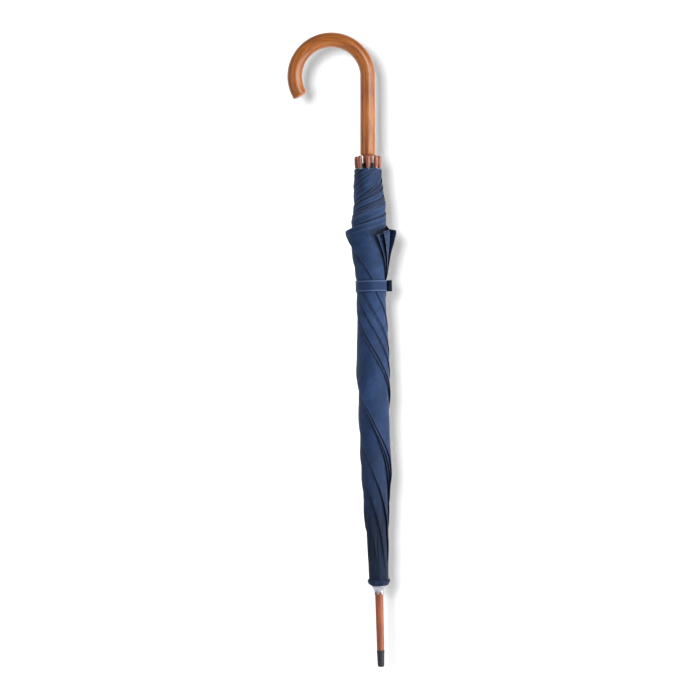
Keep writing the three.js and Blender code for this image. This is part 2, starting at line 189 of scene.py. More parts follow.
def rounded(profile, corner=0.4, steps=4):
    """The profile with each inner corner replaced by a short curve."""
    profile = [np.array(point, float) for point in profile]
    out = [profile[0]]
    for before, here, after in zip(profile, profile[1:], profile[2:]):
        cut = min(corner, np.linalg.norm(before - here) / 2.1, np.linalg.norm(after - here) / 2.1)
        a = here + (before - here) / np.linalg.norm(before - here) * cut
        b = here + (after - here) / np.linalg.norm(after - here) * cut
        for t in np.linspace(0, 1, steps):
            out.append((1 - t) ** 2 * a + 2 * t * (1 - t) * here + t * t * b)
    return out + [profile[-1]]


# ---- materials ----------------------------------------------------------------------------------

class Surface:
    """A node material, built one step at a time."""

    def __init__(self, name, **settings):
        self.material = bpy.data.materials.new(name)
        self.material.use_nodes = True
        self.tree = self.material.node_tree
        self.shader = self.tree.nodes["Principled BSDF"]
        for socket, value in settings.items():
            self.shader.inputs[socket.replace("_", " ")].default_value = value
        self.height = None

    def node(self, kind, **settings):
        made = self.tree.nodes.new(kind)
        for key, value in settings.items():
            setattr(made, key, value)
        return made

    def link(self, source, target):
        self.tree.links.new(source, target)

    def coords(self, output="Object", scale=(1, 1, 1)):
        source = self.node("ShaderNodeTexCoord")
        mapping = self.node("ShaderNodeMapping")
        mapping.inputs["Scale"].default_value = scale
        self.link(source.outputs[output], mapping.inputs["Vector"])
        return mapping.outputs["Vector"]

    def noise(self, coords, scale, detail=4.0, roughness=0.5, distortion=0.0):
        made = self.node("ShaderNodeTexNoise")
        made.inputs["Scale"].default_value = scale
        made.inputs["Detail"].default_value = detail
        made.inputs["Roughness"].default_value = roughness
        made.inputs["Distortion"].default_value = distortion
        self.link(coords, made.inputs["Vector"])
        return made.outputs["Fac"]

    def wave(self, coords, scale, direction="X", distortion=0.0):
        made = self.node("ShaderNodeTexWave", wave_type="BANDS", bands_direction=direction)
        made.inputs["Scale"].default_value = scale
        made.inputs["Distortion"].default_value = distortion
        self.link(coords, made.inputs["Vector"])
        return made.outputs["Fac"]

    def ramp(self, source, *stops):
        made = self.node("ShaderNodeValToRGB")
        elements = made.color_ramp.elements
        while len(elements) < len(stops):
            elements.new(0.5)
        for element, (place, colour) in zip(elements, stops):
            element.position = place
            element.color = (*colour, 1) if len(colour) == 3 else colour
        self.link(source, made.inputs["Fac"])
        return made.outputs["Color"]

    def math(self, operation, a, b=0.0):
        made = self.node("ShaderNodeMath", operation=operation)
        for socket, value in zip(made.inputs, (a, b)):
            if isinstance(value, (int, float)):
                socket.default_value = value
            else:
                self.link(value, socket)
        return made.outputs["Value"]

    def mix(self, factor, a, b, blend="MIX"):
        made = self.node("ShaderNodeMix", data_type="RGBA", blend_type=blend)
        for index, value in ((0, factor), (6, a), (7, b)):
            socket = made.inputs[index]
            if isinstance(value, (int, float)):
                socket.default_value = value
            elif isinstance(value, tuple):
                socket.default_value = (*value, 1)
            else:
                self.link(value, socket)
        return made.outputs[2]

    def attribute(self, name):
        return self.node("ShaderNodeAttribute", attribute_name=name).outputs["Fac"]

    def fade(self, source, start, end, most):
        """most where source is up to start, falling to nought at end"""
        made = self.node("ShaderNodeMapRange", interpolation_type="SMOOTHSTEP")
        for socket, value in (("From Min", start), ("From Max", end), ("To Min", most), ("To Max", 0.0)):
            made.inputs[socket].default_value = value
        self.link(source, made.inputs["Value"])
        return made.outputs["Result"]

    def uv(self, axis):
        source = self.node("ShaderNodeUVMap", uv_map="UVMap")
        split = self.node("ShaderNodeSeparateXYZ")
        self.link(source.outputs["UV"], split.inputs["Vector"])
        return split.outputs[axis]

    def colour(self, source):
        self.link(source, self.shader.inputs["Base Color"])

    def roughness(self, source, low, high):
        made = self.node("ShaderNodeMapRange")
        made.inputs["To Min"].default_value = low
        made.inputs["To Max"].default_value = high
        self.link(source, made.inputs["Value"])
        self.link(made.outputs["Result"], self.shader.inputs["Roughness"])

    def bump(self, source, distance_mm, strength=1.0):
        made = self.node("ShaderNodeBump")
        made.inputs["Strength"].default_value = strength
        made.inputs["Distance"].default_value = distance_mm * MM
        self.link(source, made.inputs["Height"])
        if self.height:
            self.link(self.height, made.inputs["Normal"])
        self.height = made.outputs["Normal"]
        self.link(self.height, self.shader.inputs["Normal"])


NAVY_DARK = (0.007, 0.023, 0.066)
NAVY = (0.014, 0.039, 0.110)
NAVY_LIGHT = (0.030, 0.066, 0.176)
# Painted shade for the creases beside fold edges and along the pleats
CREASE_SHADE_COLOUR = (0.001, 0.002, 0.007)
# Painted highlight for the fold edges
FOLD_HIGHLIGHT_COLOUR = (0.10, 0.15, 0.30)
HEM_STITCH_COLOUR = (0.05, 0.085, 0.19)
# Painted highlight for the hem's edge
HEM_EDGE_HIGHLIGHT_COLOUR = (0.12, 0.17, 0.33)
STRAP_STITCH_COLOUR = (0.11, 0.17, 0.30)
# The stitched lines of the hem and the strap, in metres: how far in they are, and how wide
HEM_WIDTH = 0.0066
HEM_STITCH_WIDTH = 0.0009
STRAP_STITCH_FROM_MIDDLE = 0.0066
STRAP_STITCH_WIDTH = 0.0005
LINE_BLUR = 0.0006


def fabric_material(
        name, dark=NAVY_DARK, middle=NAVY, light=NAVY_LIGHT, painted_shading=False, hemmed=False, edged=False):
    """Plain woven polyester. The weave follows the cloth's own flat coordinates, in metres."""
    surface = Surface(name, Sheen_Weight=0.03, Sheen_Roughness=0.4, Specular_IOR_Level=0.22)
    cloth = surface.coords("UV")
    patches = surface.noise(cloth, 32, detail=6, roughness=0.65)
    threads = surface.noise(surface.coords("UV", (1, 0.06, 1)), 2600, detail=2)
    mixed = surface.math(
        "ADD", surface.math("MULTIPLY", patches, 0.7), surface.math("MULTIPLY", threads, 0.3))
    colour = surface.ramp(mixed, (0.34, dark), (0.5, middle), (0.66, light))
    if painted_shading:
        # Painted highlight along the fold edges
        fold_highlight = surface.fade(surface.attribute("from_edge"), 0.2, 1.3, 0.5)
        colour = surface.mix(fold_highlight, colour, FOLD_HIGHLIGHT_COLOUR)
        # Painted shade beside the fold edges, along the pleats and towards the foot of the canopy
        crease_shading = surface.math("MULTIPLY", surface.attribute("crease_shade"), 0.96)
        colour = surface.mix(crease_shading, colour, CREASE_SHADE_COLOUR)
    if hemmed:
        from_hem = surface.uv("Y")
        stitches = surface.math("GREATER_THAN", surface.wave(cloth, 270), 0.4)
        past = HEM_WIDTH + HEM_STITCH_WIDTH
        line = surface.math(
            "SUBTRACT", surface.fade(from_hem, past, past + LINE_BLUR, 1),
            surface.fade(from_hem, HEM_WIDTH, HEM_WIDTH + LINE_BLUR, 1))
        colour = surface.mix(surface.math("MULTIPLY", line, stitches), colour, HEM_STITCH_COLOUR)
        # Painted highlight along the hem's edge
        colour = surface.mix(surface.fade(from_hem, 0.0004, 0.0014, 0.3), colour, HEM_EDGE_HIGHLIGHT_COLOUR)
    if edged:
        across = surface.math("ABSOLUTE", surface.uv("Y"))
        line = surface.math("COMPARE", across, STRAP_STITCH_FROM_MIDDLE)
        line.node.inputs[2].default_value = STRAP_STITCH_WIDTH
        colour = surface.mix(surface.math("MULTIPLY", line, 0.7), colour, STRAP_STITCH_COLOUR)
    surface.colour(colour)
    surface.roughness(patches, 0.55, 0.75)
    weave = surface.math("MAXIMUM", surface.wave(cloth, 700, "X"), surface.wave(cloth, 700, "Y"))
    surface.bump(surface.noise(cloth, 90, detail=3), 0.4, 0.6)
    surface.bump(weave, 0.05, 0.5)
    return surface.material


def wood_material(name, dark, middle, light, grain_length=0.06, roughness=(0.22, 0.34), coat=0.7):
    """Straight-grained wood. u runs round the piece, and v along it in metres."""
    surface = Surface(name, Coat_Weight=coat, Coat_Roughness=0.12, Specular_IOR_Level=0.5)
    along = surface.coords("UV")
    stretched = surface.coords("UV", (9, 1 / grain_length, 1))
    grain = surface.noise(stretched, 1.6, detail=6, roughness=0.62, distortion=0.5)
    pores = surface.noise(surface.coords("UV", (90, 60, 1)), 1.0, detail=3, roughness=0.7)
    tone = surface.noise(along, 9, detail=2)
    mixed = surface.math("ADD", surface.math("MULTIPLY", grain, 0.62), surface.math("MULTIPLY", pores, 0.2))
    mixed = surface.math("ADD", mixed, surface.math("MULTIPLY", tone, 0.18))
    surface.colour(surface.ramp(mixed, (0.34, dark), (0.5, middle), (0.66, light)))
    surface.roughness(pores, *roughness)
    surface.bump(pores, 0.04, 0.35)
    return surface.material


def metal_material(name, dark, light, roughness=(0.22, 0.42), scratches=900):
    surface = Surface(name, Metallic=1.0)
    place = surface.coords("Object")
    cloudy = surface.noise(place, 160, detail=4)
    streaks = surface.noise(surface.coords("Object", (1, 1, 0.05)), scratches, detail=3)
    surface.colour(surface.ramp(cloudy, (0.3, dark), (0.7, light)))
    surface.roughness(streaks, *roughness)
    surface.bump(streaks, 0.012, 0.5)
    return surface.material


def plastic_material(name, dark, light, roughness=(0.35, 0.5)):
    surface = Surface(name, Specular_IOR_Level=0.45)
    place = surface.coords("Object")
    mottle = surface.noise(place, 300, detail=5)
    surface.colour(surface.ramp(mottle, (0.35, dark), (0.65, light)))
    surface.roughness(mottle, *roughness)
    surface.bump(surface.noise(place, 1500, detail=2), 0.03, 0.4)
    return surface.material


HANDLE_WOOD = wood_material(
    "handle_wood", (0.17, 0.034, 0.003), (0.34, 0.092, 0.007), (0.50, 0.17, 0.018),
    roughness=(0.24, 0.34), coat=0.3)
FERRULE_WOOD = wood_material(
    "ferrule_wood", (0.15, 0.03, 0.010), (0.29, 0.066, 0.022), (0.42, 0.12, 0.032),
    roughness=(0.3, 0.45), coat=0.3)
TIP_WOOD = wood_material(
    "tip_wood", (0.10, 0.018, 0.006), (0.27, 0.058, 0.018), (0.46, 0.14, 0.045),
    grain_length=0.02, coat=0.6)
# The canopy's fabric carries the painted shade and painted highlights
CANOPY_FABRIC = fabric_material("canopy_fabric", painted_shading=True, hemmed=True)
PLAIN_FABRIC = fabric_material("panel_fabric", hemmed=True)
STRAP_FABRIC = fabric_material(
    "strap_fabric", (0.005, 0.018, 0.055), (0.012, 0.034, 0.10), (0.028, 0.06, 0.16), edged=True)
RUFFLE_FABRIC = fabric_material(
    "ruffle_fabric", (0.002, 0.007, 0.024), (0.006, 0.018, 0.056), (0.014, 0.034, 0.09))
TAB_FABRIC = fabric_material(
    "tab_fabric", (0.003, 0.005, 0.014), (0.006, 0.010, 0.026), (0.012, 0.02, 0.05))
THREAD = fabric_material(
    "stitch_thread", (0.07, 0.11, 0.22), (0.12, 0.17, 0.31), (0.17, 0.23, 0.38))
STEEL = metal_material("frame_steel", (0.34, 0.35, 0.37), (0.52, 0.53, 0.55))
# Near-black steel for the runner; it keeps the runner dark where it shows between the rib tips
DARK_RUNNER_STEEL = metal_material(
    "dark_runner_steel", (0.018, 0.018, 0.02), (0.04, 0.04, 0.044), roughness=(0.35, 0.5))
SILVER = metal_material(
    "cap_metal", (0.40, 0.40, 0.46), (0.58, 0.58, 0.66), roughness=(0.3, 0.46))
TIP_PLASTIC = plastic_material("tip_plastic", (0.010, 0.010, 0.014), (0.028, 0.028, 0.036))


def finish_piece(obj, material, slot, body, *replaced):
    """Gives a piece its material, sets it on its body, and hides what it stands for."""
    obj.data.materials.clear()
    obj.data.materials.append(material)
    if body:
        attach(obj, body)
    if replaced:
        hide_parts(*replaced)
    return obj


# ---- camera, light and stage --------------------------------------------------------------------

VIEW_WIDTH = 0.98
LENS = 100
SENSOR = 36
VIEW_CENTRE = Vector((-0.0319, 0, 0.4445))
VIEW_ROLL = math.radians(-1.49)
CAMERA_DISTANCE = VIEW_WIDTH * LENS / SENSOR
WALL_Y = 0.64
WALL_HALF_WIDTH, WALL_LOW, WALL_HIGH = 2.2, -0.9, 2.4
FLOOR_Z = -0.3
FLOOR_REACH = 3
# Each light on the object: where it stands, its size in metres and its power in watts.
STUDIO_LIGHTS = {
    "key": ((0.9, -1.7, 1.3), 1.0, 15),
    "side_panel": ((1.5, -0.75, 0.6), 1.8, 30),
    "fill": ((-1.7, -1.2, 0.9), 0.9, 4),
}
# The light that throws the shadow on the backdrop stands beside the camera.
SHADOW_LIGHT_PLACE = VIEW_CENTRE + Vector((-0.085, -CAMERA_DISTANCE, 0.05))
SHADOW_LIGHT_SIZE = 0.11
SHADOW_LIGHT_POWER = 112
AMBIENT_STRENGTH = 0.38


def make_camera():
    data = bpy.data.cameras.new("camera")
    data.lens = LENS
    data.sensor_width = SENSOR
    camera = bpy.data.objects.new("camera", data)
    bpy.context.scene.collection.objects.link(camera)
    upright = Matrix.Rotation(math.radians(90), 4, "X") @ Matrix.Rotation(VIEW_ROLL, 4, "Z")
    camera.matrix_world = Matrix.Translation(VIEW_CENTRE - Vector((0, CAMERA_DISTANCE, 0))) @ upright
    bpy.context.scene.camera = camera


def area_light(name, place, target, size, power):
    data = bpy.data.lights.new(name, "AREA")
    data.size = size
    data.energy = power
    light = bpy.data.objects.new(name, data)
    light.location = place
    light.rotation_euler = (Vector(target) - Vector(place)).to_track_quat("-Z", "Y").to_euler()
    bpy.context.scene.collection.objects.link(light)
    return light


def stage_plane(name, corners, material):
    obj = piece(name, [[value / MM for value in corner] for corner in corners], [(0, 1, 2, 3)])
    obj.data.materials.append(material)
    return obj


def stage_material(name, one_sided):
    """Pale paper. A one-sided sheet can't be seen from behind."""
    surface = Surface(name, Roughness=0.9, Specular_IOR_Level=0.1)
    mottle = surface.noise(surface.coords(), 3)
    surface.colour(surface.ramp(mottle, (0.3, (0.86, 0.86, 0.86)), (0.7, (0.88, 0.88, 0.88))))
    if one_sided:
        behind = surface.node("ShaderNodeNewGeometry").outputs["Backfacing"]
        clear = surface.node("ShaderNodeBsdfTransparent")
        either = surface.node("ShaderNodeMixShader")
        surface.link(behind, either.inputs[0])
        surface.link(surface.shader.outputs[0], either.inputs[1])
        surface.link(clear.outputs[0], either.inputs[2])
        surface.link(either.outputs[0], surface.tree.nodes["Material Output"].inputs["Surface"])
    return surface.material


def make_stage():
    """A pale backdrop close behind the umbrella, a floor and an even light all round"""
    left, right = -WALL_HALF_WIDTH, WALL_HALF_WIDTH
    wall = stage_plane(
        "backdrop",
        [(left, WALL_Y, WALL_LOW), (right, WALL_Y, WALL_LOW), (right, WALL_Y, WALL_HIGH),
         (left, WALL_Y, WALL_HIGH)],
        stage_material("backdrop_paper", one_sided=True))
    reach = FLOOR_REACH
    stage_plane(
        "floor",
        [(-reach, -reach, FLOOR_Z), (reach, -reach, FLOOR_Z), (reach, WALL_Y, FLOOR_Z),
         (-reach, WALL_Y, FLOOR_Z)],
        stage_material("floor_paper", one_sided=False))
    world = bpy.data.worlds.new("world")
    bpy.context.scene.world = world
    world.use_nodes = True
    background = world.node_tree.nodes["Background"]
    background.inputs["Color"].default_value = (1, 1, 1, 1)
    background.inputs["Strength"].default_value = AMBIENT_STRENGTH
    bpy.context.scene.view_settings.view_transform = "Standard"
    make_lights(wall)


def make_lights(wall):
    """Three lights for the umbrella, and one for the backdrop alone"""
    only_wall = bpy.data.collections.new("only_wall")
    only_wall.objects.link(wall)
    all_but_wall = bpy.data.collections.new("all_but_wall")
    all_but_wall.objects.link(wall)
    all_but_wall.collection_objects[0].light_linking.link_state = "EXCLUDE"
    middle = (0, 0, 0.45)
    for name, (place, size, power) in STUDIO_LIGHTS.items():
        light = area_light(name, place, middle, size, power)
        light.light_linking.receiver_collection = all_but_wall
    shadow_maker = area_light(
        "backdrop_light", SHADOW_LIGHT_PLACE, VIEW_CENTRE, SHADOW_LIGHT_SIZE, SHADOW_LIGHT_POWER)
    shadow_maker.light_linking.receiver_collection = only_wall


# ---- handle -------------------------------------------------------------------------------------

GRIP_LENGTH = 111.0
CROOK_RADIUS = 51.0
CROOK_TURN = math.radians(210)
HANDLE_LEAN = math.radians(1.4)
END_DOME = 3.2
BUTT_ROUNDING = 2.4
BUTT_INSET = 1.1


def make_handle():
    """A straight grip and a round crook, swept along one path and leaning a little"""
    low, high = box_mm("handle")
    section = (high[1] - low[1]) / 2
    length = GRIP_LENGTH + CROOK_RADIUS * CROOK_TURN
    swell = curve([(0, 1.0), (80, 0.99), (190, 0.975), (240, 0.98), (length, 1.0)], 16)
    stops = np.concatenate([
        [0.0, 0.25, 0.7, 1.4, BUTT_ROUNDING], np.linspace(4, length - 0.5, 110),
        length + END_DOME * np.sin(np.radians(np.linspace(4, 89, 16)))])
    points, uv = [], []
    around = np.linspace(0, 2 * math.pi, 48, endpoint=False)
    lean = Matrix.Rotation(HANDLE_LEAN, 3, "Y")
    base = Vector((0, 0, low[2] + section * math.sin(HANDLE_LEAN)))
    for stop in stops:
        on_path = min(stop, length)
        angle = max(0.0, on_path - GRIP_LENGTH) / CROOK_RADIUS
        centre = Vector((
            CROOK_RADIUS * (math.cos(angle) - 1), 0,
            min(on_path, GRIP_LENGTH) + CROOK_RADIUS * math.sin(angle)))
        outward = Vector((math.cos(angle), 0, math.sin(angle)))
        forward = Vector((-math.sin(angle), 0, math.cos(angle)))
        beyond = stop - on_path
        centre += forward * beyond
        radius = section * float(swell(on_path))
        radius *= max(0.0, 1 - (beyond / END_DOME) ** 3) ** (1 / 2.2)
        radius -= BUTT_INSET * max(0.0, 1 - stop / BUTT_ROUNDING) ** 2.2
        for turn in around:
            point = centre + outward * (radius * math.cos(turn)) + Vector((0, radius * math.sin(turn), 0))
            points.append(base + lean @ point)
            uv.append((turn / (2 * math.pi), stop * MM))
    rows = len(stops)
    faces = grid_faces(rows, len(around), close_columns=True)
    faces.append(tuple(range(len(around)))[::-1])
    faces.append(tuple((rows - 1) * len(around) + i for i in range(len(around))))
    handle = piece("crook_handle", points, faces, uv)
    finish_piece(handle, HANDLE_WOOD, "handle_wood", "shaft", "handle")


# ---- shaft, ferrule and cap ---------------------------------------------------------------------

POCKET_DEPTH = 9
POCKET_WIDTH = 2.2
POCKET_MIDDLE_X = 4.9


def cut_pockets(obj):
    """Cuts the slots in the shaft that its catches are set in."""
    for node in ("bottom_catch", "top_catch"):
        low, high = box_mm(node)
        cutter = bmesh.new()
        bmesh.ops.create_cube(cutter, size=1)
        turn = Matrix.Rotation(math.radians(SPOKE / 2), 4, "Z")
        length = high[2] - low[2] + 2
        size = Matrix.Diagonal((POCKET_DEPTH * MM, POCKET_WIDTH * MM, length * MM, 1))
        middle = Matrix.Translation((POCKET_MIDDLE_X * MM, 0, (low[2] + high[2]) / 2 * MM))
        bmesh.ops.transform(cutter, matrix=turn @ middle @ size, verts=cutter.verts)
        mesh = bpy.data.meshes.new("cutter")
        cutter.to_mesh(mesh)
        tool = bpy.data.objects.new("cutter", mesh)
        bpy.context.scene.collection.objects.link(tool)
        cut = obj.modifiers.new("pocket", "BOOLEAN")
        cut.object = tool
        cut.solver = "EXACT"
        bpy.context.view_layer.update()
        shaped = bpy.data.meshes.new_from_object(
            obj.evaluated_get(bpy.context.evaluated_depsgraph_get()))
        obj.modifiers.clear()
        obj.data = shaped
        bpy.data.objects.remove(tool)


def make_shaft():
    """The shaft is one rod. It narrows at the crown, and its end below the cap is the ferrule."""
    low, high = box_mm("shaft")
    tip_z = box_mm("ferrule_tip")[1][2] + 0.3
    cap_z = box_mm("crown_cap")[0][2]
    neck, end, full = 5.9, 5.35, (high[0] - low[0]) / 2
    profile = [
        (3.2, tip_z - 6), (3.3, tip_z), (end - 0.15, tip_z + 0.05), (end, tip_z + 0.5),
        (end + 0.12, tip_z + 20), (neck - 0.15, tip_z + 50), (neck, cap_z + 2), (neck, 134),
        (full, 136), (full, high[2]),
    ]
    shaft = turned("wooden_shaft", rounded(profile, 0.5), 64)
    cut_pockets(shaft)
    finish_piece(shaft, FERRULE_WOOD, "shaft_wood", "shaft", "shaft")


def make_ferrule_tip():
    outer, _, top = box_mm("ferrule_tip")[1]
    tip = turned("ferrule_end", rounded([
        (0.4, 0.0), (3.0, 0.0), (4.3, 0.7), (4.85, 2.6), (5.0, 9), (outer - 0.1, top - 3.4),
        (outer + 0.15, top - 3.0), (outer + 0.15, top - 0.3), (outer - 0.25, top), (3.9, top),
        (3.8, top - 5),
    ], 0.5, 5), 56)
    finish_piece(tip, TIP_PLASTIC, "tip_plastic", "shaft", "ferrule_tip")


CLAW_COUNT = 6
CAP_NECK_Z = 106.5


def make_cap():
    """The silver cap, with pointed claws round its end"""
    low, high = box_mm("crown_cap")
    top, claw_z, outer = high[2], low[2], high[0]
    outside = [
        (outer - 0.5, top + 0.1), (outer, top - 0.25), (outer - 0.1, top - 1.0),
        (outer - 1.3, top - 2.6), (outer - 2.7, top - 4.6), (outer - 3.5, top - 6.4),
        (6.9, CAP_NECK_Z), (6.8, CAP_NECK_Z - 0.8), (6.7, claw_z + 2.6), (6.5, claw_z + 1),
        (6.35, claw_z),
    ]
    inside = [(6.0, claw_z), (6.05, claw_z + 2.5), (6.1, CAP_NECK_Z), (outer - 1.3, top - 1.2)]

    def claws(radius, height, angle):
        phase = (angle / (2 * math.pi) * CLAW_COUNT + 0.25) % 1
        point = 1 - np.abs(2 * phase - 1)
        length = CAP_NECK_Z - claw_z
        depth = np.clip((CAP_NECK_Z - height) / length, 0, 1)
        return radius + 0.5 * depth * point, height + depth * (1 - point) * length * 0.93

    profile = rounded(outside, 0.4, 3) + rounded(inside, 0.3, 3)
    cap = turned("silver_cap", profile, 96, closed=True, shift=claws)
    finish_piece(cap, SILVER, "cap_metal", "shaft", "crown_cap")


def make_ruffle():
    """The gathered fabric collar between the cap and the canopy, with its lip curled up"""
    z = box_mm("rosette")[0][2]
    profile = [
        (6.5, z + 1.2), (8.5, z - 0.2), (10.6, z - 0.5), (12.2, z + 0.2), (13.6, z + 1.9),
        (14.8, z + 3.9), (15.5, z + 6.0), (15.4, z + 7.7), (14.6, z + 8.3), (13.9, z + 7.5),
        (13.7, z + 6.0), (14.1, z + 4.6), (13.2, z + 2.9), (11.8, z + 1.6), (10.2, z + 1.0),
        (8.2, z + 1.2), (6.6, z + 2.2),
    ]

    def gathers(radius, height, angle):
        out = smooth(11, 15, radius)
        folds = np.sin(9 * angle + 0.6) + 0.45 * np.sin(17 * angle + 2.0)
        waves = (
            0.8 * np.sin(9 * angle + 1.9) + 0.9 * np.sin(2 * angle - 0.5)
            + 0.3 * np.sin(23 * angle))
        return radius + out * folds * 0.45, height + out * waves

    ruffle = turned(
        "crown_ruffle", rounded(profile, 1.2, 4), 180, sharp_deg=70, closed=True, shift=gathers)
    finish_piece(ruffle, RUFFLE_FABRIC, "canopy_fabric", "shaft", "rosette")


# ---- rib tips -----------------------------------------------------------------------------------

TIP_LENGTH = 17.0
TIP_PROFILE = rounded([
    (1.7, 0), (2.7, 0), (3.0, 0.9), (2.75, 2.2), (2.95, 3.2), (3.25, 5.2), (3.25, 12.2),
    (3.1, 14.0), (2.5, 15.9), (1.5, 16.8), (0.3, TIP_LENGTH),
], 0.7, 5)


def make_rib_tips():
    foot_x = TIP_AXIS_X * MM - TIP_LENGTH / 2 * RIB_SLOPE * MM
    for number in range(1, RIB_COUNT + 1):
        tip = turned(f"turned_tip_{number}", TIP_PROFILE, 28)
        tip.data.transform(
            Matrix.Rotation(math.radians((number - 1) * SPOKE), 4, "Z")
            @ Matrix.Translation((foot_x, 0, TIP_LOW[2] * MM))
            @ Matrix.Rotation(math.atan(RIB_SLOPE), 4, "Y"))
        finish_piece(tip, TIP_WOOD, "tip_wood", f"rib_{number}", f"rib_tip_{number}")


# ---- the wound canopy ---------------------------------------------------------------------------

# Each flap of the canopy is a panel folded in the middle. It leaves its rib and winds clockwise, seen
# from the handle. Angles are in degrees from the front.
WINDING = curve([
    (112, 0), (130, 0), (190, 27), (240, 62), (300, 122), (370, 202), (390, 228), (480, 359),
    (533, 438), (560, 438),
], 8)
# Above LOOSE_Z the folds are loose. Their tips are at FOLD_TIP_Z.
LOOSE_Z = 541.0
FOLD_TIP_Z = 610.0
# For each flap: where its fold edge would be with no winding; how far it winds above the strap; how
# far its tip stands out from the rest and over how many degrees; and how far its hem has slipped up.
FLAPS = [
    (-10, 95, 5.0, 50, 5.0), (27, 95, 5.5, 60, 7.0), (83, 95, 8.6, 112, 0.0),
    (156.5, 69, 6.4, 34, -8.0), (160, 53, 9.0, 80, -3.0), (170, 3, 12.0, 60, 0.0),
    (300, 95, 4.0, 50, -3.0), (308.5, 95, 4.5, 50, 3.0),
]
OUTER_RADIUS = curve([
    (112, 12.2), (117, 12.8), (122, 14.0), (132, 14.1), (146, 14.6), (166, 15.6), (189, 17.0),
    (211, 19.0), (233, 19.2), (278, 20.2), (323, 21.2), (357, 22.6), (401, 22.8), (446, 22.2),
    (491, 20.9), (522, 20.2), (545, 20.3), (558, 21.4), (570, 22.4), (581, 23.2), (592, 23.9),
    (604, 24.4), (614, 24.6), (622, 24.2), (632, 23.2), (642, 22.6), (660, 21.7), (680, 20.4),
    (699, 19.7),
], 4)
STANDING_OUT = curve([
    (500, 0), (541, 0), (548, 0.13), (558, 0.23), (574, 0.40), (583, 0.55), (594, 0.80), (606, 1.0),
    (611, 0.97), (617, 0.6), (626, 0.12), (634, 0), (700, 0),
], 2)
# How far the hem curves in between two ribs
HEM_SAG = 16.5
SLOPE = math.tan(HALF_PANEL_ANGLE)
# The rows of the canopy's mesh run from the crown (0) to the hem (1).
CANOPY_ROWS = np.concatenate([
    np.linspace(0.008, 0.72, 50), np.linspace(0.72, 0.985, 56)[1:],
    [0.9875, 0.990, 0.9925, 0.995, 0.997, 0.9985, 1.0]])
# Its columns run from each rib (0) to the fold edge (1) on the inner layer, and back on the outer one,
# where they are closest together at the fold edge.
INNER_SHARES = np.linspace(0, 1, 31)[:-1]
FOLD_TO_RIB = 450
FROM_FOLD = np.concatenate([
    np.arange(0, 60, 2.5), np.arange(60, 140, 4.0), np.linspace(140, FOLD_TO_RIB, 26)])
OUTER_SHARES = 1 - FROM_FOLD / FOLD_TO_RIB


def inner_radius(z):
    """The furled canopy lies on the ribs, and at its foot on the crown."""
    over_crown = 0.9 * (1 - smooth(134, 148, z)) - 1.7 * (1 - smooth(115, 122, z))
    return HINGE_X + (z - CROWN_Z) * RIB_SLOPE + RIB_HALF_DEPTH + 0.9 + over_crown


def hem_point(angle, slip):
    """How far across and how high the hem is, on a line from the apex at an angle from the rib"""
    straight = PANEL_LENGTH * math.cos(HALF_PANEL_ANGLE) / np.cos(HALF_PANEL_ANGLE - angle)
    reach = straight - HEM_SAG * (1 - (1 - angle / HALF_PANEL_ANGLE) ** 2)
    across = reach * np.sin(angle)
    level = 0.6 * across * np.exp(-(across / 26) ** 2)
    return across, reach * np.cos(angle) + level + slip * smooth(10, 60, across)


def edge_share(z, slip):
    """How much of a flap's width is left at height z: all of it up to the tip of its fold"""
    angles = np.linspace(0, HALF_PANEL_ANGLE, 200)
    across, height = hem_point(angles, slip)
    share = across / np.maximum(height * SLOPE, 1e-6)
    return np.interp(z - APEX_Z, height[::-1], share[::-1], left=1.0, right=0.0)


def winding(z, flap):
    """How far the fold edge lies from its own rib at height z, in degrees"""
    angle, above, _, _, _ = FLAPS[flap]
    extra = flap * SPOKE - angle
    full = WINDING(LOOSE_Z) + extra + above
    below = WINDING(np.minimum(z, LOOSE_Z)) + extra * smooth(140, 330, z)
    free = below + above * np.clip((z - LOOSE_Z) / (FOLD_TIP_Z - LOOSE_Z), 0, 1)
    return np.where(z > FOLD_TIP_Z, full * (z - APEX_Z) / (FOLD_TIP_Z - APEX_Z), free)


def layer_thickness(z):
    """The room between the ribs and the outside, shared out among the layers at height z"""
    turns = WINDING(np.minimum(z, LOOSE_Z)) + np.clip(z - LOOSE_Z, 0, FOLD_TIP_Z - LOOSE_Z) * 1.2
    turns = np.where(z > FOLD_TIP_Z, turns * (z - APEX_Z) / (FOLD_TIP_Z - APEX_Z), turns)
    layers = 2 * turns * edge_share(z, 0.0) / SPOKE + 1
    return (OUTER_RADIUS(z) - inner_radius(z)) / layers


def shade_beside_edges(azimuth, z, radius, flap, full):
    """From 0 to 1: how much painted shade a point gets from lying beside an edge that passes over it"""
    crease_shade = np.zeros_like(z)
    for over in range(RIB_COUNT):
        share = edge_share(z, FLAPS[over][4])
        steep = np.where(share < 0.999, 0.36, 1.0)
        loose = 0.55 * FLAPS[over][2] * STANDING_OUT(z) * (2 < over < 6)
        width = 1.35 + 0.45 * smooth(600, 625, z) + loose + 0.8 * (1 - smooth(180, 330, z))
        for lead in (0, SPOKE):
            edge = over * SPOKE + lead - share * (full[over] + lead)
            gap = ((edge - azimuth) % 360) * math.pi / 180 * radius * steep
            reach = np.where((flap == over) & (lead == SPOKE), 0, 1) * (share > 0.02)
            crease_shade = np.maximum(crease_shade, reach * np.exp(-(gap / width) ** 1.6))
    return crease_shade


def canopy_columns():
    """For each column of the canopy: its flap, its layer (0 inside, 1 outside) and how far it lies on
    the way from the rib to the fold, from 0 to 1"""
    columns = []
    for flap in range(RIB_COUNT):
        columns += [(flap, 0, share) for share in INNER_SHARES]
        columns += [(flap, 1, share) for share in OUTER_SHARES]
    return [np.array(values) for values in zip(*columns)]


def pleats(azimuth, z, height, seed, width):
    """Narrow lines that run along the shaft, from 0 between them to 1 on them"""
    return np.exp(-(ripple_round(azimuth, z, 13, height, seed) / width) ** 2)


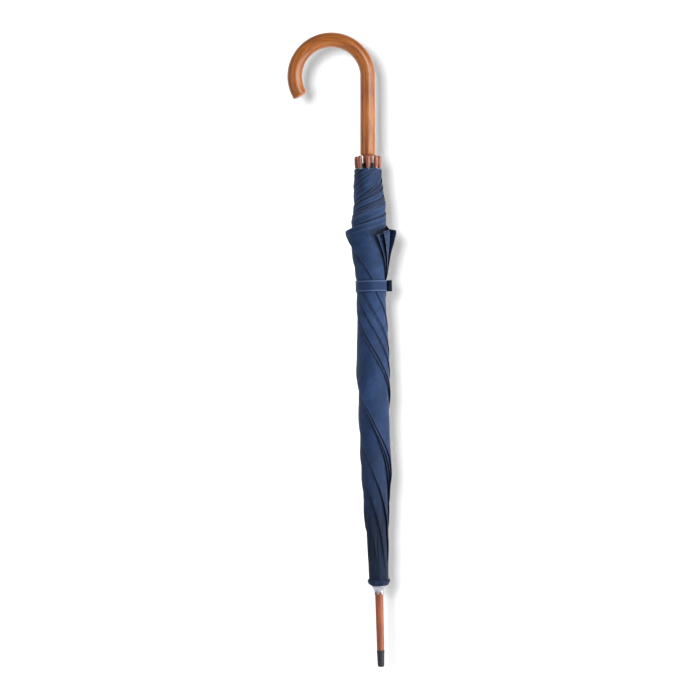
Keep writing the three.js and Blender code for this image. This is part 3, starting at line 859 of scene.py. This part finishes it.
def make_wound_canopy():
    """The furled canopy: one continuous sheet, folded into eight flaps that are wound round the ribs"""
    flap, layer, share = canopy_columns()
    out, spread, slip = (np.array([entry[i] for entry in FLAPS])[flap] for i in (2, 3, 4))

    # Where each point lies on the flat sheet: across from its rib, and down from the apex
    hem_across, hem_height = hem_point(np.arctan(share * SLOPE), slip)
    wobble = 1.2 * ripple(share * 9, flap * 7.3 + layer * 3.1, 1, 1, 4.0)
    hem_height += wobble * smooth(0, 0.15, share) * smooth(0, 0.1, 1.02 - share)
    row_share = CANOPY_ROWS[:, None]
    height = row_share * hem_height
    across = row_share * hem_across
    z = APEX_Z + height
    from_hem = (1 - row_share) * hem_height
    width = np.maximum(height * SLOPE, 1e-6)
    across_share = np.clip(across / width, 0, 1)
    from_edge = (1 - across_share) * width

    # How far round it is wound, and how many layers lie below it
    full = np.stack([winding(z, each) for each in range(RIB_COUNT)])
    own = full[flap, :, np.arange(len(flap))].T
    wound = np.where(layer == 1, across_share * (own + SPOKE) - SPOKE, across_share * own)
    azimuth = flap * SPOKE - wound
    index = np.where(
        layer == 1, np.where(wound < 0, 1 + wound / SPOKE, 2 * wound / SPOKE + 1), 2 * wound / SPOKE)
    index = index + np.where(layer == 1, -0.5, 0.5) * np.exp(-from_edge / 1.4)
    radius = inner_radius(z) + layer_thickness(z) * np.maximum(index, 0)

    # Fold edges lift a little, above the strap the loose tips stand out, and the hem is thicker.
    radius += 0.8 * np.exp(-from_edge / 2.6) * smooth(136, 175, z)
    radius += out * STANDING_OUT(z) * (1 - smooth(0, 1, (1 - across_share) * own / spread))
    hem_lip = 0.35 * np.exp(-from_hem / 2.0) * smooth(20, 50, hem_across)
    radius += 0.45 * (1 - smooth(7, 9, from_hem)) + hem_lip

    # Soft folds, held down at the strap, and pleats at the crown and the hem
    soft = ripple_round(azimuth, z, 9, 60, 1) * 0.9 * smooth(136, 180, z)
    small = ripple_round(azimuth + z, z, 22, 18, 2) * 0.28 * smooth(136, 160, z)
    held = 1 - 0.85 * np.exp(-((z - STRAP_Z) / 13) ** 2)
    bottom_pleats = pleats(azimuth - 0.15 * z, z, 170, 3, 0.13) * (1 - smooth(190, 300, z))
    at_hem = smooth(648, 684, z)
    hem_pleats = pleats(azimuth, z, 90, 4, 0.11) * at_hem
    radius += (soft + small) * held - 1.1 * bottom_pleats * smooth(136, 162, z) - 0.9 * hem_pleats
    limit = STRAP_RADIUS - 0.65
    pressed = limit + 0.4 * (1 - np.exp(limit - radius))
    under_strap = np.abs(z - STRAP_Z) < STRAP_WIDTH / 2 + 1
    radius = np.where(under_strap & (radius > limit), pressed, radius)

    # The front is -Y.
    angle = np.radians(azimuth - 90)
    points = np.stack([radius * np.cos(angle), radius * np.sin(angle), z], -1)
    sheet_uv = np.stack([across * np.where(layer == 1, 1, -1) * MM + 0.5, from_hem * MM], -1)
    canopy = piece(
        "furled_canopy", points.reshape(-1, 3),
        grid_faces(len(row_share), len(flap), close_columns=True), sheet_uv.reshape(-1, 2))

    # Painted shading: painted shade in the creases beside the edges, along the pleats and towards the foot,
    # and painted highlights on the fold edges
    crease_shade = shade_beside_edges(azimuth, z, radius, flap, full) * smooth(125, 160, z)
    crease_shade *= 1 - 0.3 * at_hem
    # Painted shade along the pleats at the foot and the hem
    crease_shade = np.maximum(crease_shade, 0.95 * np.maximum(bottom_pleats, 0.85 * hem_pleats))
    # Painted shade, darker towards the foot of the canopy
    crease_shade = np.maximum(crease_shade, 0.74 * (1 - smooth(150, 390, z)))
    # Painted highlight: how far each point lies from its own outer fold edge, capped at 8 mm, with none near
    # the foot
    fold_highlight_distance = np.where(layer == 1, np.clip(from_edge, 0, 8), 8.0) + 8 * (1 - smooth(150, 200, z))
    for name, values in (("crease_shade", crease_shade), ("from_edge", fold_highlight_distance)):
        store = canopy.data.attributes.new(name, "FLOAT", "POINT")
        store.data.foreach_set("value", values.ravel().astype(np.float32))
    panels = [f"canopy_panel_{number}" for number in range(1, RIB_COUNT + 1)]
    finish_piece(canopy, CANOPY_FABRIC, "canopy_fabric", "shaft", *panels)
    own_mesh(canopy)
    return canopy


# ---- the panels that open ----------------------------------------------------------------------

# Each strip's width, how far outside its rib it lies, and how much more where it laps the next one
STRIP_WIDTH = 3.6
STRIP_LIFT = 2.2
SEAM_LAP = 1.3
# The bump where it passes over the joint clip
CLIP_LIFT = 1.0
CLIP_REACH = 18.0
# The open panel: how far it sags, where it starts, and how far its hem curves in
STRIP_SAG = 4.0
STRIP_FOOT = 17.4
OPEN_HEM_SAG = 42.0
PANEL_COLUMNS, PANEL_ROWS = 33, 46


def over_clip(from_hinge):
    """How much higher the cloth lies where it passes over the joint clip"""
    return CLIP_LIFT * math.exp(-((from_hinge - CLIP_FROM_HINGE) / CLIP_REACH) ** 4)


def make_open_panel(number):
    """Each panel lies folded to a narrow strip beside its rib, inside the furled canopy. Its open shape gives
    the strip's length and its cloth coordinates."""
    azimuth = math.radians((number - 1) * SPOKE)
    splay = math.atan(RIB_SLOPE)
    even = np.linspace(0, 1, PANEL_COLUMNS)
    # The strip's columns are spaced by the inverse of an ease in and out.
    spaced = 0.5 - np.sin(np.arcsin(1 - 2 * even) / 3)
    axis = Vector(JOINTS[f"panel_spread_{number}"]["axis"])
    along = Vector((
        math.sin(splay) * math.cos(azimuth), math.sin(splay) * math.sin(azimuth), math.cos(splay)))
    side = axis.cross(along).normalized()
    root = Vector((HINGE_X * math.cos(azimuth), HINGE_X * math.sin(azimuth), CROWN_Z))
    apex = Vector(JOINTS[f"panel_spread_{number}"]["pos_m"]) / MM
    back = (root - apex).dot(along)
    length = PANEL_LENGTH - (root.z - APEX_Z) + back
    points, uv = [], []
    for row_share in np.arange(PANEL_ROWS) / (PANEL_ROWS - 1):
        for share, strip_share in zip(even, spaced):
            swept = FAN_ANGLE * share
            off_middle = abs(swept - HALF_PANEL_ANGLE)
            chord = length * math.cos(HALF_PANEL_ANGLE) / math.cos(off_middle)
            reach = chord - OPEN_HEM_SAG * (1 - (off_middle / HALF_PANEL_ANGLE) ** 2)
            distance = STRIP_FOOT + (reach - STRIP_FOOT) * row_share
            inward = STRIP_SAG * math.sin(math.pi * share) * math.sin(math.pi * row_share ** 0.8)
            lift = STRIP_LIFT + SEAM_LAP * share + over_clip(distance - back)
            point = root + along * (distance - back) + side * (STRIP_WIDTH * (strip_share - 0.5))
            point += axis * (inward - lift)
            points.append(point)
            uv.append((distance * math.sin(swept) * MM, (reach - distance) * MM))
    strip = piece(f"open_panel_{number}", points, grid_faces(PANEL_ROWS, PANEL_COLUMNS), uv)
    strip.data.materials.append(PLAIN_FABRIC)
    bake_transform(strip)
    return strip


# ---- the strap ----------------------------------------------------------------------------------

STRAP_THICKNESS = 0.7
# In degrees round the shaft
BAND_START, BAND_END = 50, 396
TAB_START, TAB_END = 46, 9
STITCH_ROW_HEIGHT = 6.3
STITCH_SPACING = 2.4
STITCH_HALF_LENGTH = 0.95
# Planes for the strap: their x at rest, in metres. They are paired with its pieces below, but nothing flattens
# the strap onto them.
FLAT_BAND_X = 0.0198
FLAT_TAB_X = 0.0229


def band_points(path, width, thickness):
    """A flat band with rounded edges along a path of (x, y, outward x, outward y)"""
    half, thick = width / 2, thickness / 2
    section = [
        (0.0, -half), (thick * 0.8, -half + 0.15), (thick, -half + 0.6), (thick, half - 0.6),
        (thick * 0.8, half - 0.15), (0.0, half), (-thick * 0.8, half - 0.15), (-thick, half - 0.6),
        (-thick, -half + 0.6), (-thick * 0.8, -half + 0.15),
    ]
    points, uv, run = [], [], 0.0
    for place, (x, y, ox, oy) in enumerate(path):
        if place:
            run += math.hypot(x - path[place - 1][0], y - path[place - 1][1])
        for depth, height in section:
            points.append((x + ox * depth, y + oy * depth, STRAP_Z + height))
            uv.append((run * MM, height * MM))
    rows, columns = len(path), len(section)
    faces = grid_faces(rows, columns, close_columns=True)
    faces.append(tuple(range(columns))[::-1])
    faces.append(tuple((rows - 1) * columns + i for i in range(columns)))
    return points, faces, uv


def round_path(start_deg, end_deg, radius, step=3.0):
    """A path round the shaft, as (x, y, outward x, outward y)"""
    count = max(2, int(abs(end_deg - start_deg) / step) + 1)
    path = []
    for angle in np.linspace(start_deg, end_deg, count):
        x, y = math.cos(math.radians(angle)), math.sin(math.radians(angle))
        path.append((radius(angle) * x, radius(angle) * y, x, y))
    return path


def stitch_line(name, path, height, depth, body):
    """A row of stitches along a band: short raised threads, made as one mesh"""
    points, faces = [], []
    run, due = 0.0, 1.0
    for before, here in zip(path, path[1:]):
        start, end = Vector(before[:2]), Vector(here[:2])
        step = (end - start).length
        run += step
        if run < due:
            continue
        due = run + STITCH_SPACING
        direction = (end - start).normalized()
        out = Vector((here[2], here[3]))
        centre = end + out * depth
        base = len(points)
        for along, across, up in (
                (-1.0, 0.0, 0.0), (-0.5, 0.22, 0.15), (0.5, 0.22, 0.15), (1.0, 0.0, 0.0),
                (0.5, -0.22, 0.15), (-0.5, -0.22, 0.15)):
            spot = centre + direction * along * STITCH_HALF_LENGTH + out * up
            points.append((spot.x, spot.y, STRAP_Z + height + across))
        faces.append(tuple(base + i for i in range(6)))
    line = piece(name, points, faces, [(p[0] * MM, p[2] * MM) for p in points])
    return finish_piece(line, THREAD, "canopy_fabric", body)


def make_strap():
    """The band, its two rows of stitches, its free tab and the snap that holds the tab"""
    base = STRAP_RADIUS + STRAP_THICKNESS / 2

    def radius(angle):
        wave = 0.18 * math.sin(math.radians(5 * angle + 20)) + 0.12 * math.sin(math.radians(11 * angle))
        return base + wave + 0.3

    path = round_path(BAND_START, BAND_END, radius)
    band = piece("strap", *band_points(path, STRAP_WIDTH, STRAP_THICKNESS))
    finish_piece(band, STRAP_FABRIC, "canopy_fabric", "rib_1", "strap_band")
    pieces = [band]
    for name, height in (
            ("strap_stitches_top", STITCH_ROW_HEIGHT), ("strap_stitches_bottom", -STITCH_ROW_HEIGHT)):
        pieces.append(stitch_line(name, path, height, STRAP_THICKNESS / 2, "rib_1"))
    end_x = box_mm("strap_tab")[1][0] - 0.2
    outer = base + 1.9
    tab_path = round_path(TAB_START, TAB_END, lambda angle: outer + 0.3)
    bend = [
        (outer + 0.6, 2.3, 0.9, 0.45), (outer + 1.4, 1.5, 0.6, 0.8), (outer + 2.8, 1.0, 0.2, 0.98),
        (outer + 4.6, 0.85, 0.0, 1.0), (end_x, 0.8, 0.0, 1.0),
    ]
    tab = piece("strap_end", *band_points(tab_path + bend, STRAP_WIDTH - 0.6, 0.9))
    finish_piece(tab, TAB_FABRIC, "canopy_fabric", "strap_tab", "strap_tab")
    button = make_snap_disc("snap_button", "snap_cap", 0.9, "strap_tab")
    post = make_snap_disc("snap_post", "snap_stud", 0.4, "rib_1")
    for strap_piece, plane_x in (
            *((made, FLAT_BAND_X) for made in pieces), (tab, FLAT_TAB_X), (button, FLAT_TAB_X),
            (post, FLAT_BAND_X)):
        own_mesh(strap_piece)


def make_snap_disc(name, node, dome, body):
    """One half of the snap: a low disc that faces outward from the shaft"""
    low, high = box_mm(node)
    centre = (low + high) / 2
    radius = (high[2] - low[2]) / 2
    outward = Vector((centre[0], centre[1], 0)).normalized()
    profile = rounded([
        (0.15, -0.4), (radius - 0.3, -0.4), (radius, -0.15), (radius - 0.1, 0.1),
        (radius * 0.75, dome * 0.55), (radius * 0.4, dome * 0.7), (0.2, dome * 0.72),
    ], 0.25, 4)
    disc = turned(name, profile, 40)
    turn = outward.to_track_quat("Z", "Y").to_matrix().to_4x4()
    disc.data.transform(Matrix.Translation(Vector(centre) * MM) @ turn)
    return finish_piece(disc, SILVER, "cap_metal", body, node)


# ---- assembly -----------------------------------------------------------------------------------

def dress_frame_nodes():
    """The nodes that stay as they are get their finish."""
    finishes = {"crown": TIP_PLASTIC, "runner": DARK_RUNNER_STEEL}
    for name, node in frame["nodes"].items():
        if not node.hide_render:
            node.data.materials.clear()
            node.data.materials.append(finishes.get(name, STEEL))


make_camera()
make_stage()
make_handle()
make_shaft()
make_ferrule_tip()
make_cap()
make_ruffle()
make_rib_tips()
canopy = make_wound_canopy()
open_panels = [make_open_panel(number) for number in range(1, RIB_COUNT + 1)]
make_strap()
dress_frame_nodes()
